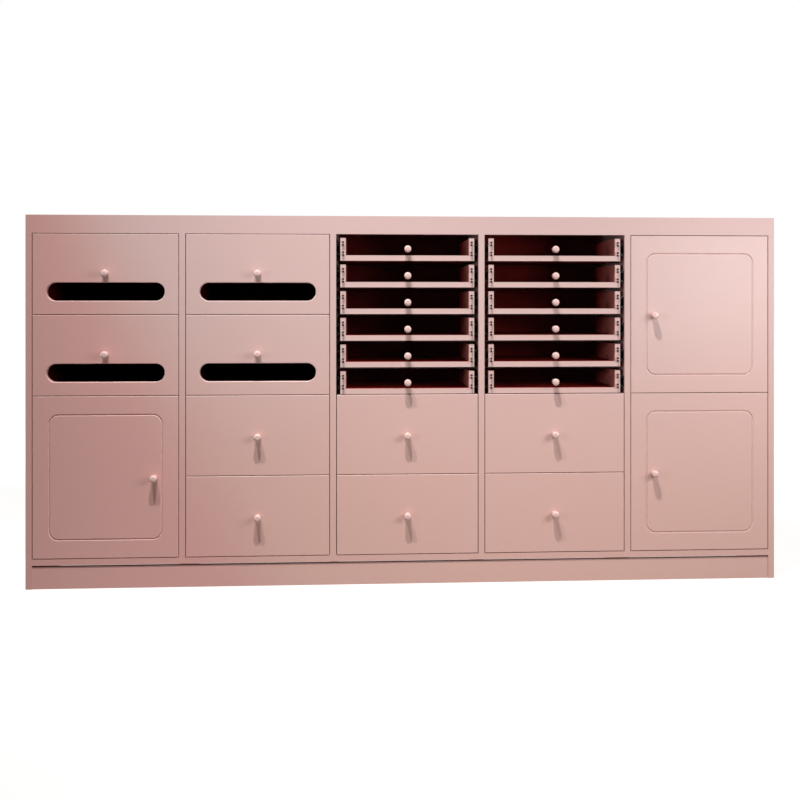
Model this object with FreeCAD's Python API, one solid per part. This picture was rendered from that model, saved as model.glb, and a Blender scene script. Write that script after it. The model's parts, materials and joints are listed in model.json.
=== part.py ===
"""A nail polish display cabinet: five bays of slotted drawers, display trays, plain drawers and doors.

Millimetres. +X runs to the viewer's right, the fronts face -Y and +Z is up.
The origin is on the floor, under the middle of the whole, knobs included.
"""

import FreeCAD, Part
import math
import os

vec = FreeCAD.Vector

# Carcass
bay_width = 428.0  # clear width between two uprights
row_pitch = 240.0  # height of one drawer front with its gap
row_count = 4
carcass_depth = 450.0  # front faces to the outside of the back
upright_thickness = 18.0
top_thickness = 18.0
bottom_thickness = 18.0
back_thickness = 6.0
top_rail_height = 36.0  # front rail under the top board
top_rail_thickness = 18.0

# Plinth
plinth_height = 70.0  # floor to the underside of the bottom board
plinth_thickness = 18.0
plinth_recess = 3.0  # set-back of the plinth board behind the carcass front
plinth_shadow_gap = 5.0  # dark line over the plinth board
plinth_back_inset = 18.0  # inner face of the back board to the plinth's back rail

# Fronts
front_thickness = 18.0
front_gap = 2.0  # around and between all fronts
front_chamfer = 1.0

# Slots in the fronts of the slotted drawers
slot_length = 344.0
slot_height = 54.0
slot_above_front_edge = 40.0  # lower edge of the front to the slot
slot_chamfer = 1.5

# Turned knobs
knob_reach = 28.0
knob_foot_radius = 6.5
knob_neck_radius = 4.6
knob_neck_place = 11.0  # front face to the narrowest place of the neck
knob_under_radius = 9.4  # where the flare ends and the rounded rim starts
knob_under_place = 10.0  # back from the tip, as the next two
knob_rim_radius = 10.3
knob_rim_place = 6.5
knob_shoulder_radius = 8.2
knob_shoulder_place = 1.6
knob_crown_radius = 3.0  # the flat at the tip
knob_drop = 4.0  # middle of a front down to the knob's axis
knob_above_slot = 27.0  # upper edge of the slot to the knob's axis
door_knob_inset = 70.0  # free edge of the door to the knob's axis
knob_sides = 14  # small turned pieces are cut in flats

# Drawer boxes
box_board = 16.0  # sides and back
rear_clearance = 26.0  # drawer back to the back panel
drawer_bottom_thickness = 12.0
drawer_box_drop = 21.0  # lower edge of the front up to the underside of the box
drawer_box_headroom = 36.0  # top of the box sides to the top of the front
drawer_slide_lift = 60.0  # underside of the box to the slide's centre

# Display trays
tray_rows = 2  # drawer rows taken up by one stack of trays
tray_count = 6
tray_bottom_thickness = 16.0
tray_box_drop = 0.6  # lower edge of the clear panel up to the underside of the tray
tray_headroom = 9.0  # top of the tray sides to the top of the clear panel
window_thickness = 5.0

# Ball-bearing slides: two interlocking channels on each side of a box
slide_space = 12.7  # upright to the side of the box
slide_height = 35.0
slide_sheet = 1.5
slide_reach = 9.6  # depth of the cabinet member
slide_lip = 3.0  # lips that hold the drawer member in
slide_inner_start = 3.0  # upright to the drawer member's brim
slide_clearance = 0.4
slide_setback = 3.0  # box ends to the slide ends

# Door grooves
groove_side_margin = 48.0  # door edge to the groove's centre line
groove_end_margin = 55.0
groove_radius = 27.0
groove_width = 6.0
groove_floor = 2.0
groove_depth = 2.5

# Concealed hinges
hinge_cup_radius = 17.5
hinge_cup_depth = 12.0
hinge_cup_wall = 1.5
hinge_cup_clearance = 0.3
hinge_cup_sides = 16
hinge_rim_overlap = 1.2  # the cup's rim over the edge of its bore
hinge_cup_setback = 22.5  # door edge to the cup's centre
hinge_end_distance = 90.0  # door end to the cup's centre
hinge_flange_length = 58.0
hinge_flange_width = 16.0
hinge_flange_thickness = 1.5
hinge_link_height = 10.0
hinge_link_thickness = 4.0
hinge_link_reach = 4.0  # folded links behind the flange
hinge_arm_height = 16.0
hinge_arm_width = 9.0
hinge_arm_length = 62.0
hinge_arm_clearance = 0.4
hinge_plate_length = 34.0
hinge_plate_height = 44.0
hinge_plate_thickness = 6.0
hinge_plate_start = 30.0  # door back to the front end of the plate

# Shelves of the door compartments
shelf_thickness = 18.0
shelf_door_clearance = 2.0  # door back to the front edge of a fixed shelf
loose_shelf_setback = 30.0  # door back to the front edge of a loose shelf
loose_shelf_side_clearance = 0.5
pin_radius = 2.5
pin_reach = 9.0
pin_inset = 40.0  # shelf ends to the pins
pin_sides = 8

bay_layout = ("slots_and_door", "slots_and_drawers", "trays_and_drawers", "trays_and_drawers", "doors")

# Sizes that follow
bay_count = len(bay_layout)
bay_pitch = bay_width + upright_thickness
overall_width = bay_count * bay_pitch + upright_thickness
overall_depth = carcass_depth + knob_reach
front_y = knob_reach - overall_depth / 2
back_y = front_y + carcass_depth
panel_back_y = front_y + front_thickness
back_panel_y = back_y - back_thickness
box_back_y = back_panel_y - rear_clearance
opening_z = plinth_height + bottom_thickness
opening_height = row_count * row_pitch + front_gap
rail_z = opening_z + opening_height
top_board_z = rail_z + top_rail_height
overall_height = top_board_z + top_thickness
inner_left = -overall_width / 2 + upright_thickness
inner_right = -inner_left
front_width = bay_width - 2 * front_gap
tray_pitch = tray_rows * row_pitch / tray_count
box_width = bay_width - 2 * slide_space


def bay_left(bay):
    """X of the left upright's inner face, with bays counted from 0 at the viewer's left."""
    return -overall_width / 2 + upright_thickness + bay * bay_pitch


def bay_centre(bay):
    return bay_left(bay) + bay_width / 2


def front_z(row):
    """Z of the lower edge of the front in a row, with rows counted from 0 at the bottom."""
    return opening_z + front_gap + row * row_pitch


def board(x0, x1, y0, y1, z0, z1):
    """A flat board between two corners."""
    return Part.makeBox(x1 - x0, y1 - y0, z1 - z0, vec(x0, y0, z0))


def plate_from(points, normal_length):
    """A plate from an outline in space, pushed along normal_length."""
    outline = Part.makePolygon(points + [points[0]])
    return Part.Face(outline).extrude(normal_length)


def mirrored_in_bay(shape, bay):
    """The same shape on the other side of the bay."""
    return shape.mirror(vec(bay_centre(bay), 0, 0), vec(1, 0, 0))


# Turned pieces

def ring(radius, sides):
    """Corners of a regular outline in the XZ plane."""
    turns = [2 * math.pi * (step + 0.5) / sides for step in range(sides)]
    return [vec(radius * math.cos(turn), 0, radius * math.sin(turn)) for turn in turns]


def turned(profile, sides, start):
    """A turned piece in flats: the profile lists (radius, distance) along -Y from the start point."""
    rings = []
    for radius, distance in profile:
        centre = start + vec(0, -distance, 0)
        rings.append([centre + corner for corner in ring(radius, sides)])
    faces = [Part.Face(Part.makePolygon(end + end[:1])) for end in (rings[0], rings[-1])]
    for near, far in zip(rings, rings[1:]):
        for side in range(sides):
            after = (side + 1) % sides
            flat = [near[side], near[after], far[after], far[side], near[side]]
            faces.append(Part.Face(Part.makePolygon(flat)))
    solid = Part.makeSolid(Part.makeShell(faces))
    if solid.Volume < 0:
        solid.reverse()
    return solid


def knob(x, face_y, z):
    """A turned knob that stands on a front at face_y and points at the viewer."""
    profile = [
        (knob_foot_radius, 0),
        (knob_neck_radius, knob_neck_place),
        (knob_under_radius, knob_reach - knob_under_place),
        (knob_rim_radius, knob_reach - knob_rim_place),
        (knob_shoulder_radius, knob_reach - knob_shoulder_place),
        (knob_crown_radius, knob_reach),
    ]
    return turned(profile, knob_sides, vec(x, face_y, z))


# Fronts

def front_panel(bay, z0, height):
    """A painted front with its four front edges eased."""
    x0 = bay_left(bay) + front_gap
    panel = board(x0, x0 + front_width, front_y, panel_back_y, z0, z0 + height)
    face = min(panel.Faces, key=lambda each: each.CenterOfMass.y)
    return panel.makeChamfer(front_chamfer, face.Edges)


def stadium(x, z, length, height, y):
    """An outline with two half-round ends, standing square to Y."""
    radius = height / 2
    reach = length / 2 - radius
    low_left = vec(x - reach, y, z - radius)
    low_right = vec(x + reach, y, z - radius)
    high_left = vec(x - reach, y, z + radius)
    high_right = vec(x + reach, y, z + radius)
    right_end = vec(x + length / 2, y, z)
    left_end = vec(x - length / 2, y, z)
    return Part.Wire([
        Part.LineSegment(low_left, low_right).toShape(),
        Part.Arc(low_right, right_end, high_right).toShape(),
        Part.LineSegment(high_right, high_left).toShape(),
        Part.Arc(high_left, left_end, low_left).toShape(),
    ])


def slot_centre_z(row):
    return front_z(row) + slot_above_front_edge + slot_height / 2


def slot_cutter(bay, row):
    """The slot with its eased front rim."""
    x = bay_centre(bay)
    z = slot_centre_z(row)
    outline = stadium(x, z, slot_length, slot_height, front_y)
    through = Part.Face(outline).extrude(vec(0, front_thickness, 0))
    rim_length = slot_length + 2 * slot_chamfer
    rim_height = slot_height + 2 * slot_chamfer
    rim = Part.makeLoft(
        [
            stadium(x, z, rim_length, rim_height, front_y),
            stadium(x, z, slot_length, slot_height, front_y + slot_chamfer),
        ],
        True,
        True,
    )
    return through.fuse(rim)


def drawer_front(bay, row, slotted):
    """A drawer front and its knob; the slotted one carries its knob over the slot."""
    height = row_pitch - front_gap
    panel = front_panel(bay, front_z(row), height)
    knob_z = front_z(row) + height / 2 - knob_drop
    if slotted:
        panel = panel.cut(slot_cutter(bay, row))
        knob_z = slot_centre_z(row) + slot_height / 2 + knob_above_slot
    return [panel, knob(bay_centre(bay), front_y, knob_z)]


def tray_window(bay, tray):
    """The clear panel over the open end of a tray."""
    x0 = bay_left(bay) + front_gap
    z0 = tray_front_z(tray)
    z1 = z0 + tray_pitch - front_gap
    return [board(x0, x0 + front_width, front_y, front_y + window_thickness, z0, z1)]


# Slides

def slide_channel(bay, z, y0, y1):
    """The cabinet member: a channel on the left upright with lips turned in."""
    x = bay_left(bay)
    half = slide_height / 2
    inner = half - slide_sheet
    mouth = inner - slide_lip
    outline = [
        (0, -half), (slide_reach, -half), (slide_reach, -mouth), (slide_reach - slide_sheet, -mouth),
        (slide_reach - slide_sheet, -inner), (slide_sheet, -inner), (slide_sheet, inner),
        (slide_reach - slide_sheet, inner), (slide_reach - slide_sheet, mouth), (slide_reach, mouth),
        (slide_reach, half), (0, half),
    ]
    points = [vec(x + across, y0, z + up) for across, up in outline]
    return plate_from(points, vec(0, y1 - y0, 0))


def slide_runner(bay, z, y0, y1):
    """The drawer member: a hat that hangs on the box and runs behind the channel's lips."""
    x = bay_left(bay)
    brim = slide_height / 2 - slide_sheet - slide_clearance
    body = brim - slide_lip
    hollow = body - slide_sheet
    start = slide_inner_start
    outline = [
        (slide_space, -body), (slide_space, body), (start + slide_sheet, body),
        (start + slide_sheet, brim), (start, brim), (start, hollow),
        (slide_space - slide_sheet, hollow), (slide_space - slide_sheet, -hollow), (start, -hollow),
        (start, -brim), (start + slide_sheet, -brim), (start + slide_sheet, -body),
    ]
    points = [vec(x + across, y0, z + up) for across, up in outline]
    return plate_from(points, vec(0, y1 - y0, 0))


def on_both_sides(make_member, bay, z, panel_thickness):
    """A left member and its mirror image, the length of the box."""
    y0 = front_y + panel_thickness + slide_setback
    y1 = box_back_y - slide_setback
    left = make_member(bay, z, y0, y1)
    return [left, mirrored_in_bay(left, bay)]


# Boxes

def open_box(bay, z0, side_height, bottom_thickness_here, panel_thickness):
    """Two sides, a bottom and a back; the front panel closes the fourth side."""
    x0 = bay_left(bay) + slide_space
    x1 = x0 + box_width
    y0 = front_y + panel_thickness
    y1 = box_back_y
    z1 = z0 + side_height
    return [
        board(x0, x0 + box_board, y0, y1, z0, z1),
        board(x1 - box_board, x1, y0, y1, z0, z1),
        board(x0 + box_board, x1 - box_board, y0, y1, z0, z0 + bottom_thickness_here),
        board(x0 + box_board, x1 - box_board, y1 - box_board, y1, z0 + bottom_thickness_here, z1),
    ]


def drawer_box_z(row):
    return front_z(row) + drawer_box_drop


def drawer_slide_z(row):
    return drawer_box_z(row) + drawer_slide_lift


def drawer_box(bay, row):
    side_height = row_pitch - front_gap - drawer_box_drop - drawer_box_headroom
    boards = open_box(bay, drawer_box_z(row), side_height, drawer_bottom_thickness, front_thickness)
    return boards + on_both_sides(slide_runner, bay, drawer_slide_z(row), front_thickness)


def tray_front_z(tray):
    """Z of the lower edge of a tray's clear panel, with trays counted from 0 at the bottom."""
    return front_z(row_count - tray_rows) + tray * tray_pitch


def tray_side_height():
    return tray_pitch - front_gap - tray_box_drop - tray_headroom


def tray_slide_z(tray):
    return tray_front_z(tray) + tray_box_drop + tray_side_height() / 2


def tray_box(bay, tray):
    """The tray's boards and slides, with the knob that is bolted on through the clear panel."""
    z0 = tray_front_z(tray) + tray_box_drop
    boards = open_box(bay, z0, tray_side_height(), tray_bottom_thickness, window_thickness)
    runners = on_both_sides(slide_runner, bay, tray_slide_z(tray), window_thickness)
    knob_z = tray_front_z(tray) + (tray_pitch - front_gap) / 2 - knob_drop
    return boards + runners + [knob(bay_centre(bay), front_y, knob_z)]


# Doors

def rounded_outline(x0, x1, z0, z1, radius, y):
    """A rectangle with round corners, standing square to Y."""
    bow = radius * (1 - math.sqrt(0.5))
    corners = [
        (vec(x1 - radius, y, z0), vec(x1 - bow, y, z0 + bow), vec(x1, y, z0 + radius)),
        (vec(x1, y, z1 - radius), vec(x1 - bow, y, z1 - bow), vec(x1 - radius, y, z1)),
        (vec(x0 + radius, y, z1), vec(x0 + bow, y, z1 - bow), vec(x0, y, z1 - radius)),
        (vec(x0, y, z0 + radius), vec(x0 + bow, y, z0 + bow), vec(x0 + radius, y, z0)),
    ]
    edges = []
    for index, (start, middle, end) in enumerate(corners):
        previous_end = corners[index - 1][2]
        edges.append(Part.LineSegment(previous_end, start).toShape())
        edges.append(Part.Arc(start, middle, end).toShape())
    return Part.Wire(edges)


def groove_ring(bay, z0, height):
    """The routed groove: a ring with sloped walls and a narrow floor."""
    x0 = bay_left(bay) + front_gap + groove_side_margin
    x1 = bay_left(bay) + bay_width - front_gap - groove_side_margin
    low = z0 + groove_end_margin
    high = z0 + height - groove_end_margin

    def outline(offset, y):
        return rounded_outline(
            x0 - offset, x1 + offset, low - offset, high + offset, groove_radius + offset, y
        )

    def tapered(side):
        mouth = outline(side * groove_width / 2, front_y)
        floor = outline(side * groove_floor / 2, front_y + groove_depth)
        return Part.makeLoft([mouth, floor], True, True)

    return tapered(1).cut(tapered(-1))


def hinge_heights(z0, height):
    return (z0 + hinge_end_distance, z0 + height - hinge_end_distance)


def toward_hinge_side(shape, bay, hinged_left):
    """Hinge parts are drawn on the left of the bay and mirrored for a door that hangs on the right."""
    return shape if hinged_left else mirrored_in_bay(shape, bay)


def cup_start(bay, z):
    """The middle of the cup's mouth, on the door's back."""
    return vec(bay_left(bay) + front_gap + hinge_cup_setback, panel_back_y, z)


def cup_bore(bay, z):
    radius = hinge_cup_radius + hinge_cup_clearance
    depth = hinge_cup_depth + hinge_cup_clearance
    return turned([(radius, 0), (radius, depth)], hinge_cup_sides, cup_start(bay, z))


def hinge_cup(bay, z):
    """The pressed cup in the door, its flange on the door's back and the links folded into it."""
    start = cup_start(bay, z)
    rim_radius = hinge_cup_radius + hinge_cup_clearance + hinge_rim_overlap
    hollow_radius = hinge_cup_radius - hinge_cup_wall
    floor = hinge_cup_depth - hinge_cup_wall
    cup = turned(
        [
            (hinge_cup_radius, hinge_cup_depth),
            (hinge_cup_radius, 0),
            (rim_radius, 0),
            (rim_radius, -hinge_flange_thickness),
            (hollow_radius, -hinge_flange_thickness),
            (hollow_radius, floor),
        ],
        hinge_cup_sides,
        start,
    )
    half_length = hinge_flange_length / 2
    half_width = hinge_flange_width / 2
    wings = board(
        start.x - half_width, start.x + half_width, panel_back_y, panel_back_y + hinge_flange_thickness,
        z - half_length, z + half_length,
    )
    mouth = turned([(hollow_radius, -hinge_flange_thickness), (hollow_radius, 0)], hinge_cup_sides, start)
    links = board(
        start.x - hinge_link_thickness / 2, start.x + hinge_link_thickness / 2,
        panel_back_y - floor, panel_back_y + hinge_link_reach,
        z - hinge_link_height / 2, z + hinge_link_height / 2,
    )
    return cup.fuse([wings.cut(mouth), links]).removeSplitter()


def hinge_arm(bay, z):
    """The arm from the mounting plate to the cup, cranked from the upright out to the folded links."""
    x = bay_left(bay)
    nose_y = panel_back_y + hinge_link_reach + hinge_arm_clearance
    nose_x = cup_start(bay, z).x + hinge_link_thickness / 2
    crank_y = panel_back_y + hinge_plate_start
    end_y = nose_y + hinge_arm_length
    plate_x = x + hinge_plate_thickness
    outer_x = plate_x + hinge_arm_width
    outline = [
        (plate_x, end_y), (plate_x, crank_y), (nose_x - hinge_arm_width, nose_y), (nose_x, nose_y),
        (outer_x, crank_y), (outer_x, end_y),
    ]
    points = [vec(across, along, z - hinge_arm_height / 2) for across, along in outline]
    return plate_from(points, vec(0, 0, hinge_arm_height))


def hinge_plate(bay, z):
    """The mounting plate on the upright, with its long wings eased at the ends."""
    x = bay_left(bay)
    start_y = panel_back_y + hinge_plate_start
    half = hinge_plate_height / 2
    neck = hinge_arm_height / 2
    ease = hinge_plate_length / 4
    outline = [
        (start_y, -neck), (start_y + ease, -half), (start_y + hinge_plate_length - ease, -half),
        (start_y + hinge_plate_length, -neck), (start_y + hinge_plate_length, neck),
        (start_y + hinge_plate_length - ease, half), (start_y + ease, half), (start_y, neck),
    ]
    points = [vec(x, along, z + up) for along, up in outline]
    return plate_from(points, vec(hinge_plate_thickness, 0, 0))


class Door:
    """One door: which rows it covers and which upright it hangs on."""

    def __init__(self, name, bay, low_row, rows, hinged_left):
        self.name = name
        self.bay = bay
        self.z0 = front_z(low_row)
        self.height = rows * row_pitch - front_gap
        self.hinged_left = hinged_left
        self.hinges = hinge_heights(self.z0, self.height)

    def side(self, shape):
        return toward_hinge_side(shape, self.bay, self.hinged_left)

    def panel(self):
        panel = front_panel(self.bay, self.z0, self.height).cut(groove_ring(self.bay, self.z0, self.height))
        for z in self.hinges:
            panel = panel.cut(self.side(cup_bore(self.bay, z)))
        return panel

    def knob(self):
        from_centre = front_width / 2 - door_knob_inset
        x = bay_centre(self.bay) + (from_centre if self.hinged_left else -from_centre)
        return knob(x, front_y, self.z0 + self.height / 2 - knob_drop)

    def cups(self):
        return [self.side(hinge_cup(self.bay, z)) for z in self.hinges]

    def arms(self):
        arms = [self.side(hinge_arm(self.bay, z)) for z in self.hinges]
        plates = [self.side(hinge_plate(self.bay, z)) for z in self.hinges]
        return arms + plates


# Shelves

def fixed_shelf(bay, row):
    """A shelf behind the gap under a row, let in between the uprights."""
    middle = front_z(row) - front_gap / 2
    y0 = panel_back_y + shelf_door_clearance
    x0 = bay_left(bay)
    half = shelf_thickness / 2
    return board(x0, x0 + bay_width, y0, back_panel_y, middle - half, middle + half)


def loose_shelf(door):
    """A shelf half-way up a door compartment."""
    middle = door.z0 + door.height / 2
    x0 = bay_left(door.bay) + loose_shelf_side_clearance
    x1 = bay_left(door.bay) + bay_width - loose_shelf_side_clearance
    y0 = panel_back_y + loose_shelf_setback
    half = shelf_thickness / 2
    return board(x0, x1, y0, back_panel_y, middle - half, middle + half)


def shelf_pins(door):
    """Four pins that carry a loose shelf."""
    z = door.z0 + door.height / 2 - shelf_thickness / 2 - pin_radius
    ends = (panel_back_y + loose_shelf_setback + pin_inset, back_panel_y - pin_inset)
    pins = []
    x = bay_left(door.bay)
    for y in ends:
        points = [vec(x, y + corner.x, z + corner.z) for corner in ring(pin_radius, pin_sides)]
        left = plate_from(points, vec(pin_reach, 0, 0))
        pins += [left, mirrored_in_bay(left, door.bay)]
    return pins


# Carcass

def side_panels():
    """The two outer sides, from the floor to the top board."""
    left = board(
        -overall_width / 2, -overall_width / 2 + upright_thickness, front_y, back_panel_y, 0, top_board_z
    )
    return [left, left.mirror(vec(0, 0, 0), vec(1, 0, 0))]


def dividers():
    """The uprights between the bays, notched at the top for the front rail."""
    notch_y = front_y + top_rail_thickness
    outline = [
        (front_y, opening_z), (back_panel_y, opening_z), (back_panel_y, top_board_z),
        (notch_y, top_board_z), (notch_y, rail_z), (front_y, rail_z),
    ]
    uprights = []
    for bay in range(1, bay_count):
        x = bay_left(bay) - upright_thickness
        points = [vec(x, along, up) for along, up in outline]
        uprights.append(plate_from(points, vec(upright_thickness, 0, 0)))
    return uprights


def top_panel():
    return [board(-overall_width / 2, overall_width / 2, front_y, back_y, top_board_z, overall_height)]


def top_rail():
    return [board(inner_left, inner_right, front_y, front_y + top_rail_thickness, rail_z, top_board_z)]


def bottom_panel():
    return [board(inner_left, inner_right, front_y, back_panel_y, plinth_height, opening_z)]


def back_panel():
    return [board(-overall_width / 2, overall_width / 2, back_panel_y, back_y, plinth_height, top_board_z)]


def plinth():
    """The front board under its shadow gap, cross rails under the uprights and a back rail."""
    board_y = front_y + plinth_recess
    frame_y = board_y + plinth_thickness
    rail_y = back_panel_y - plinth_back_inset
    boards = [
        board(inner_left, inner_right, board_y, frame_y, 0, plinth_height - plinth_shadow_gap),
        board(inner_left, inner_right, rail_y, rail_y + plinth_thickness, 0, plinth_height),
    ]
    for bay in range(1, bay_count):
        x1 = bay_left(bay)
        boards.append(board(x1 - upright_thickness, x1, frame_y, rail_y, 0, plinth_height))
    return boards


# Assembly

doors = []
nodes = {}
cabinet_slides = []


def add_drawer(bay, row, slotted):
    kind = "slotted_drawer" if slotted else "drawer"
    name = f"bay{bay + 1}_{kind}{row_count - row}"
    nodes[name + "_front"] = drawer_front(bay, row, slotted)
    nodes[name + "_box"] = drawer_box(bay, row)
    cabinet_slides.extend(on_both_sides(slide_channel, bay, drawer_slide_z(row), front_thickness))


def add_tray(bay, tray):
    name = f"bay{bay + 1}_tray{tray_count - tray}"
    nodes[name + "_window"] = tray_window(bay, tray)
    nodes[name + "_box"] = tray_box(bay, tray)
    cabinet_slides.extend(on_both_sides(slide_channel, bay, tray_slide_z(tray), window_thickness))


def add_door(name, bay, low_row, hinged_left):
    door = Door(name, bay, low_row, tray_rows, hinged_left)
    nodes[name + "_panel"] = [door.panel(), door.knob()]
    nodes[name + "_hinge_cups"] = door.cups()
    doors.append(door)


upper_rows = range(row_count - 1, row_count - 1 - tray_rows, -1)
lower_rows = range(row_count - 1 - tray_rows, -1, -1)
for bay, layout in enumerate(bay_layout):
    if layout.startswith("slots"):
        for row in upper_rows:
            add_drawer(bay, row, slotted=True)
    if layout.startswith("trays"):
        for tray in reversed(range(tray_count)):
            add_tray(bay, tray)
    if layout.endswith("drawers"):
        for row in lower_rows:
            add_drawer(bay, row, slotted=False)
    if layout == "slots_and_door":
        add_door(f"bay{bay + 1}_door", bay, 0, hinged_left=True)
    if layout == "doors":
        add_door(f"bay{bay + 1}_upper_door", bay, tray_rows, hinged_left=False)
        add_door(f"bay{bay + 1}_lower_door", bay, 0, hinged_left=False)

nodes["side_panels"] = side_panels()
nodes["dividers"] = dividers()
nodes["top_panel"] = top_panel()
nodes["top_rail"] = top_rail()
nodes["bottom_panel"] = bottom_panel()
nodes["back_panel"] = back_panel()
nodes["plinth"] = plinth()
nodes["slide_channels"] = cabinet_slides
nodes["hinge_arms"] = [piece for door in doors for piece in door.arms()]
nodes["shelves"] = [fixed_shelf(bay, tray_rows) for bay in (0, bay_count - 1)]
nodes["shelves"] += [piece for door in doors for piece in [loose_shelf(door)] + shelf_pins(door)]

os.makedirs("parts", exist_ok=True)
for name, solids in nodes.items():
    shape = solids[0] if len(solids) == 1 else Part.makeCompound(solids)
    shape.exportStep(f"parts/{name}.step")
    print(f"{name}: {len(shape.Solids)} solids, {shape.Volume / 1000:.0f} cm3, valid {shape.isValid()}")
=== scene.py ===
# %% [markdown]
# # A nail polish display cabinet, finished and lit
# The cabinet is already built to size as a set of boards, drawers, trays, doors and slides.
# This lesson gives every piece its finish, adds the small turned and pressed parts that are
# too fine for the cabinet maker's model, and takes a picture from the photograph's place.
# All lengths are metres. X runs to the viewer's right, Y away from the viewer and Z up.

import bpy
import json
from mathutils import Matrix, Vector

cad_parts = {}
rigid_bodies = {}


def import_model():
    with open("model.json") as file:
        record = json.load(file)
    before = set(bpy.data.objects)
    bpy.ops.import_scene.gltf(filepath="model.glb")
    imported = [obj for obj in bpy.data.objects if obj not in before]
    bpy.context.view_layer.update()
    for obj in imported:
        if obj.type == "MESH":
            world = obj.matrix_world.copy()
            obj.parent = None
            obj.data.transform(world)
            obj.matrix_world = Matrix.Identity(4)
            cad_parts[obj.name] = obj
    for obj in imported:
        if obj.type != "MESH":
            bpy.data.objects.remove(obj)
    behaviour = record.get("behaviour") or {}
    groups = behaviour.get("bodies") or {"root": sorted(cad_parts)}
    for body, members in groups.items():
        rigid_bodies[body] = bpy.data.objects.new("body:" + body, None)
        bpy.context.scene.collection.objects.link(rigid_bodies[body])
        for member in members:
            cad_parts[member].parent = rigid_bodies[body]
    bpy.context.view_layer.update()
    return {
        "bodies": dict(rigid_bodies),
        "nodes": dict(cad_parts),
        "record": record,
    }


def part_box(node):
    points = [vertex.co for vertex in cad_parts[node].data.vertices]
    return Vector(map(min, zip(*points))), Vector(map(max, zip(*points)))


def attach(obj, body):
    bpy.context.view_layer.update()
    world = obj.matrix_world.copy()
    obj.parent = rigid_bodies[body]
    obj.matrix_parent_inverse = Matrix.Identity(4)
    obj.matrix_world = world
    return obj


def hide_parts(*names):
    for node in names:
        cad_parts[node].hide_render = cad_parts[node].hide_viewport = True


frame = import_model()
nodes = frame["nodes"]

# %% [markdown]
# ## Sizes read from the model
# A piece that is added later has to sit on the piece that carries it. So its place is worked
# out from the boxes of the boards that are already there, and nothing is typed in twice.
# The five bays stand evenly about the middle, so one bay's width gives the places of all.

# %% Read the main sizes
panel_low, panel_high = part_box("bay2_drawer3_front")
window_low, window_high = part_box("bay3_tray1_window")
bay_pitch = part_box("bay3_drawer3_front")[0].x - panel_low.x
front_y = window_low.y
panel_back_y = panel_high.y
knob_reach = front_y - panel_low.y
print(f"bay pitch {bay_pitch:.3f} m, fronts at y {front_y:.3f}, knobs reach {knob_reach:.3f} m")

# %% [markdown]
# ## The camera
# The photograph was taken from about the height of the top drawers, a little left of the
# cabinet's middle line and turned slightly to the right, so the left end is nearer and looks
# taller. The lens is held level and the frame is shifted instead of tilted, which keeps the
# uprights upright. A real view camera does the same with its rising front.

# %% Place the camera
import math

import bpy
from mathutils import Matrix, Vector

picture_side = 800
focal_pixels = 1198.0
principal_x = 450.0
principal_y = 300.7
camera_distance = 3.6
camera_place = (-0.1154, front_y - camera_distance, 0.8504)
camera_level = math.radians(90)
camera_turn = math.radians(-3.863)

camera_data = bpy.data.cameras.new("camera")
camera_data.lens = camera_data.sensor_width * focal_pixels / picture_side
camera_data.shift_x = 0.5 - principal_x / picture_side
camera_data.shift_y = principal_y / picture_side - 0.5
camera = bpy.data.objects.new("camera", camera_data)
camera.location = camera_place
camera.rotation_euler = (camera_level, 0, camera_turn)
bpy.context.scene.collection.objects.link(camera)
bpy.context.scene.camera = camera
print(f"lens {camera_data.lens:.2f} mm, shift {camera_data.shift_x:.4f}, {camera_data.shift_y:.4f}")

# %% [markdown]
# ## Writing finishes as expressions
# A finish is a small network of nodes. Wired by hand it is hard to read, so one class wraps a
# socket and lets masks be written as sums and products: each `-` or `*` adds a Math node. A second
# class holds the material and makes any other node from its type, its settings and the values
# of its sockets. Colours are mixed by a Mix node, because a Math node would turn them grey.
# The room behind the cabinet is a network too, so the same class can wrap a world.

# %% Sockets that can be added and multiplied
class Shade:
    """An output socket that can stand in an expression."""

    def __init__(self, finish, socket):
        self.finish = finish
        self.socket = socket

    def maths(self, operation, *values):
        return self.finish.node("ShaderNodeMath", {"operation": operation}, dict(enumerate(values)))

    def __add__(self, other):
        return self.maths("ADD", self, other)

    def __radd__(self, other):
        return self.maths("ADD", other, self)

    def __sub__(self, other):
        return self.maths("SUBTRACT", self, other)

    def __rsub__(self, other):
        return self.maths("SUBTRACT", other, self)

    def __mul__(self, other):
        return self.maths("MULTIPLY", self, other)

    def __gt__(self, other):
        return self.maths("GREATER_THAN", self, other)

    def __lt__(self, other):
        return self.maths("LESS_THAN", self, other)

    def __abs__(self):
        return self.maths("ABSOLUTE", self)


print("expressions are ready")

# %% [markdown]
# The finish keeps the two things that nearly every mask starts from: where a point is, and
# which way its surface faces. Both are taken in the object's own space, so they travel with a
# drawer when it is pulled out.

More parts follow.
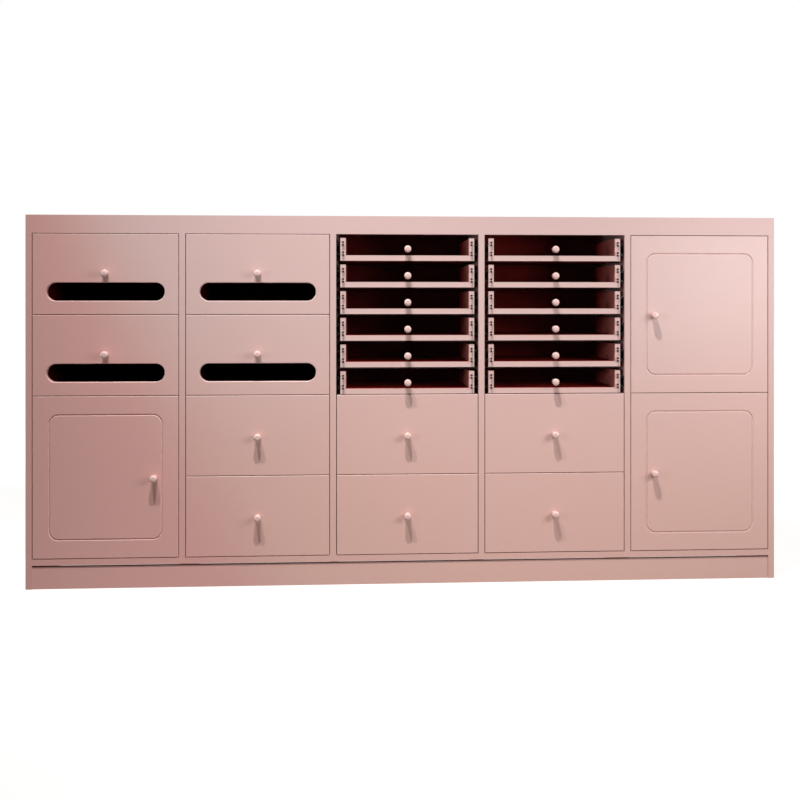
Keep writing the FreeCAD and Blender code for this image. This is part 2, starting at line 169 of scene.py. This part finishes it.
# %% The network of one finish
class Finish:
    """A material, or the world, with the nodes that feed its shader."""

    def __init__(self, name, owner=None):
        self.material = owner or bpy.data.materials.new(name)
        self.material.use_nodes = True
        self.tree = self.material.node_tree
        shaders = ("BSDF_PRINCIPLED", "BACKGROUND")
        self.shader = next(node for node in self.tree.nodes if node.type in shaders)
        self.position = self.node("ShaderNodeTexCoord", {}, {}, "Object")
        self.x, self.y, self.z = self.parts(self.position)
        facing = self.node("ShaderNodeTexCoord", {}, {}, "Normal")
        self.facing_x, self.facing_y, self.facing_z = self.parts(facing)

    def fill(self, socket, value):
        if isinstance(value, Shade):
            self.tree.links.new(value.socket, socket)
        else:
            socket.default_value = value

    def node(self, kind, settings, values, output=0):
        """A node of any type: settings first, then the values or links of its sockets."""
        made = self.tree.nodes.new(kind)
        for name, value in settings.items():
            setattr(made, name, value)
        for name, value in values.items():
            self.fill(made.inputs[name], value)
        return Shade(self, made.outputs[output])

    def parts(self, vector):
        made = self.node("ShaderNodeSeparateXYZ", {}, {0: vector}).socket.node
        return [Shade(self, socket) for socket in made.outputs]

    def put(self, **values):
        """Sets or links sockets of the shader: base_color goes to Base Color."""
        for name, value in values.items():
            title = name.replace("_", " ").title().replace("Ior", "IOR")
            self.fill(self.shader.inputs[title], value)


print("finishes can be made")

# %% [markdown]
# ## Helpers that several finishes share
# Noise gives the slow drift of a sprayed colour and the fine pebbling of lacquer. A fade turns
# a distance into a mask from 0 to 1. Colours are written as they look on a screen, from 0 to
# 255, and changed to the linear values that light is worked out in.

# %% Noise, fades and colours
def linear(red, green, blue):
    """A screen colour as a linear RGBA value, by the curve that screens follow."""
    shares = [value / 255 for value in (red, green, blue)]
    return (*[s / 12.92 if s <= 0.04045 else ((s + 0.055) / 1.055) ** 2.4 for s in shares], 1)


def noise(finish, scale, detail, stretch=(1, 1, 1)):
    """Noise with its own scale in features per metre, stretched along an axis if asked."""
    place = finish.node("ShaderNodeMapping", {}, {"Vector": finish.position, "Scale": stretch})
    return finish.node("ShaderNodeTexNoise", {}, {"Vector": place, "Scale": scale, "Detail": detail})


def fade(finish, value, start, end):
    """0 at start, 1 at end, and smooth between."""
    settings = {"interpolation_type": "SMOOTHSTEP"}
    return finish.node("ShaderNodeMapRange", settings, {"Value": value, "From Min": start, "From Max": end})


def blended(finish, mask, low, high):
    """The low colour where the mask is 0 and the high one where it is 1."""
    made = finish.node("ShaderNodeMix", {"data_type": "RGBA"}, {"Factor": mask}, 2).socket.node
    finish.fill(made.inputs[6], low)
    finish.fill(made.inputs[7], high)
    return Shade(finish, made.outputs[2])


def larger(first, second):
    return first.maths("MAXIMUM", first, second)


def patchy(finish, pattern):
    """A noise made into soft-edged patches."""
    return fade(finish, pattern, 0.35, 0.7)


def raised(finish, height, depth):
    """A bump of that depth in metres."""
    return finish.node("ShaderNodeBump", {}, {"Height": height, "Distance": depth, "Strength": 1.0})


print("white is", linear(255, 255, 255))

# %% [markdown]
# ## Pink lacquer
# The boards are sprayed with a dusty pink lacquer that dries to a satin. Close up it has the
# fine pebbling of sprayed paint. Light and shade are painted into its colour, with wandering
# borders. Painted light makes it paler and cooler near the top. Painted warm light from the floor
# makes it warmer near the floor. Painted shade makes it rosier and darker in the first bay. It is
# rubbed paler on the eased edges, which are found by their slope: a face that looks along no axis
# is a chamfer.

# %% Make the lacquer
# The top, bottom and rose colours are painted light and shade. The top is pale and cool as if lit from
# above. The bottom is warm as if lit from the floor. The rose is a painted shade at the left end. The frame
# colour is the carcass's own greyer pink at its painted, lit top.
pink_pale_lit_top = linear(206, 174, 169)
pink_warm_lit_bottom = linear(210, 169, 159)
pink_frame_lit_top = linear(206, 175, 171)
pink_rose_shade = linear(207, 158, 151)
# The rubbed colour is wear on the eased edges of the lacquer, and also a painted highlight on the front
# edges of the boxes.
pink_rubbed_and_highlight = linear(226, 194, 188)
drift_scale = 2.4
drift_reach = 0.35
fleck_scale = 60
fleck_reach = 0.10
low_height = 0.15
high_height = 0.95
rose_shade_slope = 0.45
rose_shade_wander = 0.3
rose_shade_start = -0.27
rose_shade_full = -0.62
square_face = 0.97
chamfer_face = 0.85
wear_scale = 90
wear_share = 0.5
pebble_scale = 420
fine_pebble_scale = 1500
fine_pebble_share = 0.25
pebble_depth = 0.00006


def lacquer_colour(finish, lit_top_colour):
    """The sprayed colour with painted light paler at the top, painted shade rosier to the left, and worn
    paler on eased edges.
    """
    drift = (noise(finish, drift_scale, 3) - 0.5) * drift_reach
    wander = drift + (noise(finish, fleck_scale, 2) - 0.5) * fleck_reach
    # Painted light: paler and cooler towards the top, warmer towards the floor.
    height = fade(finish, finish.z + wander, low_height, high_height)
    sprayed = blended(finish, height, pink_warm_lit_bottom, lit_top_colour)
    # Painted shade: rosier and darker towards the left end.
    rose_shade_slant = finish.x + finish.z * rose_shade_slope + wander * rose_shade_wander
    sprayed = blended(finish, fade(finish, rose_shade_slant, rose_shade_start, rose_shade_full), sprayed, pink_rose_shade)
    squareness = larger(larger(abs(finish.facing_x), abs(finish.facing_y)), abs(finish.facing_z))
    eased = fade(finish, squareness, square_face, chamfer_face)
    worn = eased * patchy(finish, noise(finish, wear_scale, 3))
    return blended(finish, worn * wear_share, sprayed, pink_rubbed_and_highlight)


def lacquer_pebbling(finish):
    fine = noise(finish, fine_pebble_scale, 1) * fine_pebble_share
    return raised(finish, noise(finish, pebble_scale, 2) + fine, pebble_depth)


def lacquered(name, lit_top_colour, gloss):
    """A satin lacquer whose upper parts have the given colour, the pale colour of a painted light from
    above.
    """
    finish = Finish(name)
    finish.put(
        base_color=lacquer_colour(finish, lit_top_colour),
        roughness=0.40 + noise(finish, 25, 3) * 0.1,
        specular_ior_level=gloss,
        normal=lacquer_pebbling(finish),
    )
    return finish


lacquer = lacquered("front_lacquer_finish", pink_pale_lit_top, 0.5)
carcass_finish = lacquered("carcass_lacquer_finish", pink_frame_lit_top, 0.15)
print("lacquers", lacquer.material.name, carcass_finish.material.name)

# %% [markdown]
# ## Boxes behind the fronts, with painted shade inside
# In the photograph the insides of the trays and slotted drawers are a dark wine red, while
# every edge that faces the room is pink. That dark red is shade, so the boxes get it as a red
# painted shade. So little light gets in that it looks far darker than it is written. The
# drawers get a deeper painted shade and are nearly black. Front edges are lacquered with the
# fronts and painted a little paler, as a painted highlight. On the sides of a tray the light
# that gets in is painted pink, and it thins out over 300 mm towards the back. The slide
# members screwed to the sides are in the same node, so a mask by the distance from the middle
# of the bay makes them steel.

# %% Masks for the boxes
# Painted shade for the dark insides of the boxes. These reds render nearly black where little light gets
# in.
inside_shade_red = linear(154, 44, 38)
inside_shade_dark = linear(126, 31, 27)
inside_shade_scale = 7
# Painted light on the sides of a tray: pink near the front, thinning out towards the back.
inside_lit_pink = linear(206, 128, 120)
inside_light_reach = 0.30
inside_light_wander = 0.03
runner_reach = 0.0097
box_low, box_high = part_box("bay2_drawer3_box")
box_half_width = (box_high.x - box_low.x) / 2 - runner_reach


def across_bay(finish):
    """Distance from the middle of whichever bay the point is in."""
    return abs(finish.x.maths("WRAP", finish.x, bay_pitch / 2, -bay_pitch / 2))


def inside_shade_colour(finish):
    return blended(finish, patchy(finish, noise(finish, inside_shade_scale, 4)), inside_shade_red, inside_shade_dark)


def faces_front(finish):
    """1 on the faces that look towards the viewer."""
    return finish.facing_y < -0.5


def inside_light_falloff(finish):
    """Painted light falling off inside: 1 at the fronts and 0 well inside, on upright faces only, with a
    rough border.
    """
    depth = finish.y - front_y + (noise(finish, 18, 3) - 0.5) * inside_light_wander
    return fade(finish, depth, inside_light_reach, 0.0) * (abs(finish.facing_x) > 0.5)


print(f"boxes are {2 * box_half_width:.4f} m wide inside their slides")

# %% [markdown]
# Slides for drawers are often plated black, and in the photograph the strips beside the trays
# are nearly black too, so the steel here is dark and only its edges catch the light.

# %% Make the finish of the boxes
slide_black = linear(48, 46, 47)
slide_worn = linear(84, 80, 80)
along_slide = (1, 0.1, 1)
slide_margin = 0.0002
edge_margin = 0.002
edge_highlight_share = 0.5
# A deeper painted shade for the drawer boxes.
deeper_inside_shade = (0.008, 0.002, 0.002, 1)
deeper_inside_shade_share = 0.75


def slide_colour(finish):
    worn = fade(finish, noise(finish, 90, 3, along_slide), 0.4, 0.8)
    return blended(finish, worn, slide_black, slide_worn)


def boxed(name, side_colour):
    """The finish of a box: painted shade inside, pink with a painted highlight on its front edges, steel
    slides at its sides.
    """
    finish = Finish(name)
    steel = across_bay(finish) > box_half_width + slide_margin
    front_edge = faces_front(finish) * (finish.y < panel_back_y + edge_margin)
    # Painted highlight: the front edges of a box are painted paler than the fronts, as if they catch the
    # light.
    edges = blended(finish, edge_highlight_share, lacquer_colour(finish, pink_pale_lit_top), pink_rubbed_and_highlight)
    boards = blended(finish, front_edge, side_colour(finish), edges)
    finish.put(
        base_color=blended(finish, steel, boards, slide_colour(finish)),
        metallic=steel,
        roughness=0.5 + noise(finish, 30, 3) * 0.08 - steel * 0.14,
        specular_ior_level=0.0,
        normal=lacquer_pebbling(finish),
    )
    return finish


# Painted shade inside a tray, with painted light on its sides near the front.
def tray_colour(finish):
    return blended(finish, inside_light_falloff(finish), inside_shade_colour(finish), inside_lit_pink)


# A deeper painted shade inside a drawer.
def drawer_colour(finish):
    return blended(finish, deeper_inside_shade_share, inside_shade_colour(finish), deeper_inside_shade)


drawer_box_finish = boxed("drawer_box_finish", drawer_colour)
tray_box_finish = boxed("tray_box_finish", tray_colour)
print("boxes", drawer_box_finish.material.name, tray_box_finish.material.name)

# %% [markdown]
# ## Carcass, back and hardware
# The carcass is sprayed inside and out like the fronts, and the loose shelves too. They stand
# on turned steel pins, which share a node with the boards, so a band just under each shelf is
# steel. The back is a thin board painted once, and its fibres still show. Behind the three
# middle bays its inner side carries the same painted shade as the insides of the boxes. Hinges
# are nickel plated with a fine grain along their length.

# %% Make the finish of the shelves
shelf_thickness = 0.018
pin_size = 0.005
pin_margin = 0.0003
nickel = (0.52, 0.51, 0.50, 1)


def pin_band(finish, door):
    """1 at the height of the pins under the loose shelf behind a door."""
    low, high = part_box(door)
    pin_z = (low.z + high.z - shelf_thickness - pin_size) / 2
    return abs(finish.z - pin_z) < pin_size / 2 + pin_margin


shelf_finish = Finish("shelf_finish")
upper_pins = pin_band(shelf_finish, "bay5_upper_door_panel")
lower_pins = pin_band(shelf_finish, "bay5_lower_door_panel")
pins = larger(upper_pins, lower_pins)
shelf_finish.put(
    base_color=blended(shelf_finish, pins, lacquer_colour(shelf_finish, pink_frame_lit_top), nickel),
    metallic=pins,
    roughness=0.42 - pins * 0.12 + noise(shelf_finish, 25, 3) * 0.08,
    normal=lacquer_pebbling(shelf_finish),
)
print("shelves", shelf_finish.material.name)

# %% [markdown]
# Metal is one finish with two colours: the base colour of a metal is what it reflects, so the
# slides differ from the hinges only in that colour and in how far their grain is worn.

# %% Make the metals and the back
nickel_dull = (0.40, 0.39, 0.39, 1)
grain_scale = 160
along_grain = (1, 0.05, 1)
grain_depth = 0.00003

hinge_nickel = Finish("hinge_nickel_finish")
grain = noise(hinge_nickel, grain_scale, 3, along_grain)
hinge_nickel.put(
    base_color=blended(hinge_nickel, fade(hinge_nickel, grain, 0.3, 0.7), nickel, nickel_dull),
    metallic=1.0,
    roughness=0.28 + grain * 0.15,
    normal=raised(hinge_nickel, grain, grain_depth),
)

slide_steel = Finish("slide_steel_finish")
slide_grain = noise(slide_steel, grain_scale, 3, along_grain)
slide_steel.put(
    base_color=slide_colour(slide_steel),
    metallic=1.0,
    roughness=0.36 + slide_grain * 0.12,
    normal=raised(slide_steel, slide_grain, grain_depth),
)

backing_pale = linear(194, 162, 155)
backing_deep = linear(184, 151, 143)
up_the_board = (1, 1, 0.3)
fibre_depth = 0.00025
middle_bays_half = bay_pitch * 1.5

backing = Finish("backing_board_finish")
fibres = noise(backing, 220, 5, up_the_board)
painted = blended(backing, fade(backing, fibres, 0.3, 0.75), backing_pale, backing_deep)
# Painted shade: the inner side of the back behind the three middle bays gets the dark red of the boxes.
shaded_behind_boxes = faces_front(backing) * (abs(backing.x) < middle_bays_half)
backing.put(
    base_color=blended(backing, shaded_behind_boxes, painted, inside_shade_colour(backing)),
    specular_ior_level=0.0,
    roughness=0.6 + fibres * 0.15,
    normal=raised(backing, fibres, fibre_depth),
)
print("metals and back are made")

# %% [markdown]
# ## Which finish goes where
# Every node of the model carries one material, so the right finish is picked by the node's
# name: fronts and door panels are lacquer, boxes carry boards and slide members in one node,
# and the rest belongs to the carcass.

# %% Give each node its finish
def finish_of(name):
    if name.endswith("_box"):
        return tray_box_finish if "_tray" in name else drawer_box_finish
    if name.endswith("_hinge_cups") or name == "hinge_arms":
        return hinge_nickel
    if name == "slide_channels":
        return slide_steel
    if name == "back_panel":
        return backing
    if name == "shelves":
        return shelf_finish
    if name.startswith("bay") or name == "plinth":
        return lacquer
    return carcass_finish


for name, node in nodes.items():
    for material_slot in node.material_slots:
        material_slot.material = finish_of(name).material
print("finishes given to", len(nodes), "nodes")

# %% [markdown]
# ## Turned knobs
# Each knob is a small wooden peg turned on a lathe and lacquered with its front. A lathe is
# exactly what a revolved profile is: a list of radii along the axis, joined by a smooth curve
# and swept round. The shadows of the knobs are straight strips nearly as wide as their heads,
# so the peg narrows only a little. It is just larger than the knob of the model, which is cut
# in flats, and covers it.

# %% Turn a profile
import bmesh

profile_steps = 5
knob_steps = 48
on_axis = 1e-6
knob_cover = 0.00002
knob_tip = knob_reach + knob_cover
knob_profile = [
    (0.0092, 0.0), (0.0088, 0.0050), (0.0087, 0.0105), (0.0091, 0.0145), (0.0101, 0.0180),
    (0.01055, 0.0215), (0.0092, 0.0260), (0.0044, knob_tip), (0.0, knob_tip),
]


def smooth_curve(points, steps):
    """A Catmull-Rom curve through points (radius, distance)."""
    ends = [points[0], *points, points[-1]]
    curve = []
    for index in range(len(points) - 1):
        a, b, c, d = (Vector(p) for p in ends[index:index + 4])
        for step in range(steps):
            t = step / steps
            bend = (2 * a - 5 * b + 4 * c - d) * t ** 2 + (3 * b - a - 3 * c + d) * t ** 3
            curve.append(0.5 * (2 * b + (c - a) * t + bend))
    curve.append(Vector(points[-1]))
    limit = points[-1][1]
    return [(max(p.x, 0.0), min(p.y, limit)) for p in curve]


def ring_of(made, radius, distance, steps):
    """The points of one turn, or a single point on the axis."""
    if radius < on_axis:
        return [made.verts.new((0, -distance, 0))]
    turns = [2 * math.pi * step / steps for step in range(steps)]
    points = [(radius * math.cos(turn), -distance, radius * math.sin(turn)) for turn in turns]
    return [made.verts.new(point) for point in points]


def revolved_mesh(name, profile, steps):
    """A mesh turned about the Y axis, reaching towards the viewer from its origin."""
    mesh = bpy.data.meshes.new(name)
    made = bmesh.new()
    rings = [ring_of(made, radius, distance, steps) for radius, distance in profile]
    for near, far in zip(rings, rings[1:]):
        for step in range(steps):
            after = step + 1
            near_side = [near[step % len(near)], near[after % len(near)]]
            far_side = [far[after % len(far)], far[step % len(far)]]
            made.faces.new(list(dict.fromkeys(near_side + far_side)))
    made.faces.new(rings[0][::-1])
    bmesh.ops.recalc_face_normals(made, faces=made.faces)
    made.to_mesh(mesh)
    made.free()
    mesh.polygons.foreach_set("use_smooth", [len(face.vertices) < 5 for face in mesh.polygons])
    return mesh


knob_mesh = revolved_mesh("knob", smooth_curve(knob_profile, profile_steps), knob_steps)
print("knob has", len(knob_mesh.polygons), "faces")

# %% [markdown]
# The knob's lacquer is rubbed to a higher gloss by hands, so its highlight is small and
# bright. Its place on a front is read from the model: the knob is the only thing that stands
# in front of the panel, so the middle of those points is its axis.

# %% Put a knob on every front
knob_pale = linear(220, 184, 177)
knob_mottle = 0.4

knob_lacquer = Finish("knob_lacquer_finish")
mottle = noise(knob_lacquer, 120, 3) * knob_mottle
knob_lacquer.put(
    base_color=blended(knob_lacquer, mottle, knob_pale, pink_pale_lit_top),
    roughness=0.24 + noise(knob_lacquer, 300, 2) * 0.08,
    coat_weight=0.3,
    coat_roughness=0.12,
)
knob_mesh.materials.append(knob_lacquer.material)


def knob_place(node):
    """The middle of the points that stand in front of the panel, or nothing."""
    points = [vertex.co for vertex in node.data.vertices if vertex.co.y < front_y - knob_reach / 2]
    if not points:
        return None
    x = (min(p.x for p in points) + max(p.x for p in points)) / 2
    z = (min(p.z for p in points) + max(p.z for p in points)) / 2
    return (x, front_y, z)


def add_piece(name, mesh, body, place=(0, 0, 0)):
    """An object from a mesh, riding on its body."""
    piece = bpy.data.objects.new(name, mesh)
    piece.location = place
    bpy.context.scene.collection.objects.link(piece)
    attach(piece, body)
    return piece


knob_count = 0
for body, members in frame["record"]["behaviour"]["bodies"].items():
    for place in filter(None, (knob_place(nodes[member]) for member in members)):
        add_piece(f"{body}_knob", knob_mesh, body, place)
        knob_count += 1
print(knob_count, "knobs turned")

# %% [markdown]
# ## Clear sheets of the trays
# A sheet of clear acrylic closes the front of each tray. It is a few tenths of a millimetre
# thinner than the space that the model keeps for it, because two surfaces in one plane flicker
# between each other when they are drawn. Its faces hardly show. Its sawn and eased edges
# scatter light, and they draw the thin grey lines across the gaps beside the trays.

# %% Cut the clear sheets
sheet_clearance = 0.0003
sheet_ease = 0.0004
sawn_edge = linear(150, 138, 136)
clear_face = linear(40, 20, 20)
edge_alpha = 0.45
face_alpha_drop = 0.43
alpha_smear = 0.006
edge_roughness = 0.30
face_roughness_drop = 0.22

acrylic = Finish("clear_acrylic_finish")
face_mask = fade(acrylic, abs(acrylic.facing_y), 0.5, 0.9)
acrylic.put(
    base_color=blended(acrylic, face_mask, sawn_edge, clear_face),
    alpha=edge_alpha - face_mask * face_alpha_drop + noise(acrylic, 40, 2) * alpha_smear,
    roughness=edge_roughness - face_mask * face_roughness_drop,
    specular_ior_level=0.2,
)


def eased_sheet(name, size, ease):
    """A flat sheet about its own middle, with all its edges eased."""
    mesh = bpy.data.meshes.new(name)
    made = bmesh.new()
    bmesh.ops.create_cube(made, size=1)
    bmesh.ops.scale(made, vec=size, verts=made.verts)
    bmesh.ops.bevel(made, geom=made.edges, offset=ease, segments=2, profile=0.5, affect="EDGES")
    made.to_mesh(mesh)
    made.free()
    return mesh


sheet_size = window_high - window_low
sheet_size.y -= 2 * sheet_clearance
sheet_mesh = eased_sheet("clear_sheet", sheet_size, sheet_ease)
sheet_mesh.materials.append(acrylic.material)
tray_bodies = [body for body in frame["bodies"] if "_tray" in body]
for body in tray_bodies:
    low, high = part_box(f"{body}_window")
    sheet = add_piece(f"{body}_clear_sheet", sheet_mesh, body, (low + high) / 2)
    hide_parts(f"{body}_window")
print(len(tray_bodies), "clear sheets of", [round(side, 4) for side in sheet_size])

# %% [markdown]
# ## Screws of the clear sheets
# Two pairs of dark round-headed screws at each end hold a clear sheet to the edges of the
# tray's sides. They are small, but in the photograph they are the darkest points of the pink
# strips. One head is revolved, and its cross recess is cut with a boolean.

# %% Make one screw head
screw_radius = 0.0034
screw_height = 0.0018
screw_steps = 24
screw_shares = [(1.0, 0.0), (1.0, 0.25), (0.86, 0.7), (0.5, 0.95), (0.0, 1.0)]
screw_profile = [(screw_radius * across, screw_height * up) for across, up in screw_shares]
recess_length = 1.1
recess_width = 0.26
recess_start = screw_height * 0.35
recess_end = screw_height * 1.5


def cross_recess(radius, start, end):
    """Two crossed blocks, to be taken out of a head."""
    mesh = bpy.data.meshes.new("recess")
    made = bmesh.new()
    for turn in (0, math.pi / 2):
        block = bmesh.ops.create_cube(made, size=1)["verts"]
        size = (radius * recess_length, end - start, radius * recess_width)
        bmesh.ops.scale(made, vec=size, verts=block)
        bmesh.ops.rotate(made, matrix=Matrix.Rotation(turn, 3, "Y"), verts=block)
        bmesh.ops.translate(made, vec=(0, -(start + end) / 2, 0), verts=block)
    made.to_mesh(mesh)
    made.free()
    return mesh


def with_recess(head_mesh, recess_mesh):
    """The head's mesh with the recess cut out of it."""
    blanks = [bpy.data.objects.new(f"blank_{mesh.name}", mesh) for mesh in (head_mesh, recess_mesh)]
    for blank in blanks:
        bpy.context.scene.collection.objects.link(blank)
    cut = blanks[0].modifiers.new("recess", "BOOLEAN")
    cut.object = blanks[1]
    cut.operation = "DIFFERENCE"
    cut.solver = "EXACT"
    cut.use_self = True
    bpy.context.view_layer.update()
    cut_head = blanks[0].evaluated_get(bpy.context.evaluated_depsgraph_get())
    finished = bpy.data.meshes.new_from_object(cut_head)
    for blank in blanks:
        bpy.data.objects.remove(blank)
    return finished


head_mesh = revolved_mesh("screw_head", screw_profile, screw_steps)
screw_mesh = with_recess(head_mesh, cross_recess(screw_radius, recess_start, recess_end))
print("screw head has", len(screw_mesh.polygons), "faces")

# %% [markdown]
# Four screws at each end of a tray are one object, so a tray gains one piece and not eight.
# They stand on the front of the clear sheet, in line with the middle of the side boards.

# %% Fasten the clear sheets
tray_board = 0.016
tray_screw_heights = (0.0170, 0.0248, 0.0472, 0.0550)
screw_dark = linear(30, 18, 18)
screw_worn = linear(62, 44, 42)

dark_steel = Finish("dark_screw_finish")
dark_steel.put(
    base_color=blended(dark_steel, noise(dark_steel, 500, 3), screw_dark, screw_worn),
    metallic=0.8,
    roughness=0.38 + noise(dark_steel, 300, 2) * 0.15,
)


def scattered_mesh(name, source, places, material):
    """One mesh with a copy of the source at each place."""
    made = bmesh.new()
    for place in places:
        before = len(made.verts)
        made.from_mesh(source)
        made.verts.ensure_lookup_table()
        bmesh.ops.translate(made, vec=place, verts=made.verts[before:])
    mesh = bpy.data.meshes.new(name)
    made.to_mesh(mesh)
    made.free()
    mesh.materials.clear()
    mesh.materials.append(material)
    return mesh


for body in tray_bodies:
    low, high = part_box(f"{body}_box")
    middle = (low.x + high.x) / 2
    reach = box_half_width - tray_board / 2
    sides = (middle - reach, middle + reach)
    heights = [low.z + height for height in tray_screw_heights]
    places = [(x, front_y + sheet_clearance, z) for x in sides for z in heights]
    mesh = scattered_mesh(f"{body}_screws", screw_mesh, places, dark_steel.material)
    add_piece(f"{body}_screws", mesh, body)
print("clear sheets are fastened")

# %% [markdown]
# ## Floor and backdrop
# The floor is a plain pale sheet. A lit floor throws light back up at the cabinet, which
# would flatten its shading, so the sheet itself is a soft grey and only what the eye sees of
# it is lifted to white. The shadow stays, because the lift is a colour of its own and the
# shadow darkens only the light that falls on the sheet.

# %% Lay the floor
floor_half = 30.0
lift_start = 1.3
lift_full = 3.0
floor_grey = linear(128, 124, 120)
floor_lift = (0.84, 0.84, 0.84, 1)
black = (0, 0, 0, 1)
white = (1, 1, 1, 1)
mirror_share = 0.3


def seen_directly(finish):
    """1 for the eye and what it sees through a sheet, less for a mirror, 0 for other light."""
    ray = finish.node("ShaderNodeLightPath", {}, {}).socket.node
    titles = ("Is Camera Ray", "Is Transmission Ray", "Is Glossy Ray")
    eye, through, mirror = (Shade(finish, ray.outputs[title]) for title in titles)
    return larger(larger(eye, through), mirror * mirror_share)


corner_signs = ((-1, -1), (1, -1), (1, 1), (-1, 1))
floor_corners = [(x * floor_half, y * floor_half, 0) for x, y in corner_signs]
floor_mesh = bpy.data.meshes.new("floor")
floor_mesh.from_pydata(floor_corners, [], [(0, 1, 2, 3)])
floor = bpy.data.objects.new("floor", floor_mesh)
bpy.context.scene.collection.objects.link(floor)

floor_finish = Finish("floor_finish")
from_middle = larger(abs(floor_finish.x), abs(floor_finish.y))
far_out = fade(floor_finish, from_middle, lift_start, lift_full)
lift = blended(floor_finish, far_out, floor_lift, white)
floor_finish.put(
    base_color=floor_grey,
    roughness=0.9,
    emission_color=blended(floor_finish, seen_directly(floor_finish), black, lift),
    emission_strength=1.0,
)
floor_mesh.materials.append(floor_finish.material)
print("floor", 2 * floor_half, "m wide")

# %% [markdown]
# ## Studio light
# The long shadows under the knobs lean a little more to the right from bay to bay, so they
# come from two small lamps high up in front of the cabinet: a strong one left of the middle,
# and a weaker one far left that adds the second shadow in the second and third bays. Each is
# a spot whose beam fades out to its edge. Soft sheets of light stand for the room. The front
# sheet and the low side lamp shine into the trays of the fourth bay, one on their backs and
# one on their right walls, which would be black without them. The last three sheets hang
# low behind the line of the fronts and light only the back and the two ends.

# %% Two kinds of lamp
small_lamp = 0.08
wide_lamp = 0.25
high_lamp_y = front_y - 1.7
high_lamp_z = 5.0
ends_y = 0.25


def hang(data, place, target):
    """A lamp at a place, turned towards its target."""
    lamp = bpy.data.objects.new(data.name, data)
    lamp.location = place
    lamp.rotation_euler = (Vector(target) - Vector(place)).to_track_quat("-Z", "Y").to_euler()
    lamp.visible_camera = False
    bpy.context.scene.collection.objects.link(lamp)


def shine(name, place, target, cone, power, radius):
    """A round lamp whose beam fades out to the edge of its cone, given in degrees."""
    spot = bpy.data.lights.new(name, "SPOT")
    spot.energy = power
    spot.spot_size = math.radians(cone)
    spot.spot_blend = 1.0
    spot.shadow_soft_size = radius
    hang(spot, place, target)


def hang_sheet(name, place, target, size, power):
    """A soft sheet of light."""
    sheet = bpy.data.lights.new(name, "AREA")
    sheet.shape = "RECTANGLE"
    sheet.size, sheet.size_y = size
    sheet.energy = power
    hang(sheet, place, target)


print("lamps of", small_lamp, "and", wide_lamp, "m")

# %% [markdown]
# Each lamp is written with its place, the point it looks at, and its power in watts. The
# cone of a round lamp is in degrees, and the size of a sheet is its width and height.

# %% Place every lamp
shine(
    "key_lamp", place=(-0.28, high_lamp_y, high_lamp_z), target=(0.42, front_y, 0.2),
    cone=56, power=890, radius=small_lamp,
)
shine(
    "far_left_lamp", place=(-1.25, high_lamp_y, high_lamp_z), target=(-0.5, front_y, 0.2),
    cone=32, power=600, radius=small_lamp,
)
shine(
    "low_side_lamp", place=(-2.6, front_y - 2.2, 1.05), target=(0.75, front_y, 0.85),
    cone=36, power=90, radius=wide_lamp,
)
hang_sheet(
    "front_sheet", place=(1.35, front_y - 1.15, 0.95), target=(0.6, front_y, 0.85),
    size=(0.7, 0.3), power=6.5,
)
hang_sheet(
    "right_sheet", place=(2.4, front_y - 2.0, 1.6), target=(0.3, front_y, 0.6),
    size=(1.6, 1.4), power=29,
)
hang_sheet(
    "back_sheet", place=(0.4, 4.2, 0.55), target=(0.0, 0.2, 0.5),
    size=(2.4, 0.8), power=125,
)
hang_sheet(
    "left_end_sheet", place=(-4.0, ends_y, 0.55), target=(-1.12, ends_y, 0.5),
    size=(1.2, 0.8), power=62,
)
hang_sheet(
    "right_end_sheet", place=(4.0, ends_y, 0.55), target=(1.12, ends_y, 0.5),
    size=(1.2, 0.8), power=30,
)
print("lamps", [lamp.name for lamp in bpy.data.lights])

# %% [markdown]
# The world is white for the eye and for what it sees through a clear sheet, and dim as a
# light. It asks for the same three kinds of ray as the floor. A mirroring surface gets a
# dimmer white from both, so that the lacquer keeps its colour at the glancing edges.

# %% Light the room
room_light = (0.04, 0.04, 0.04, 1)
world = bpy.data.worlds.new("room")
bpy.context.scene.world = world
room = Finish("room", world)
room.put(color=blended(room, seen_directly(room), room_light, white), strength=1.0)
bpy.context.scene.view_settings.view_transform = "Standard"
print("room light", room_light[0])

# %% [markdown]
# ## The end of the scene

# %% The end
import json
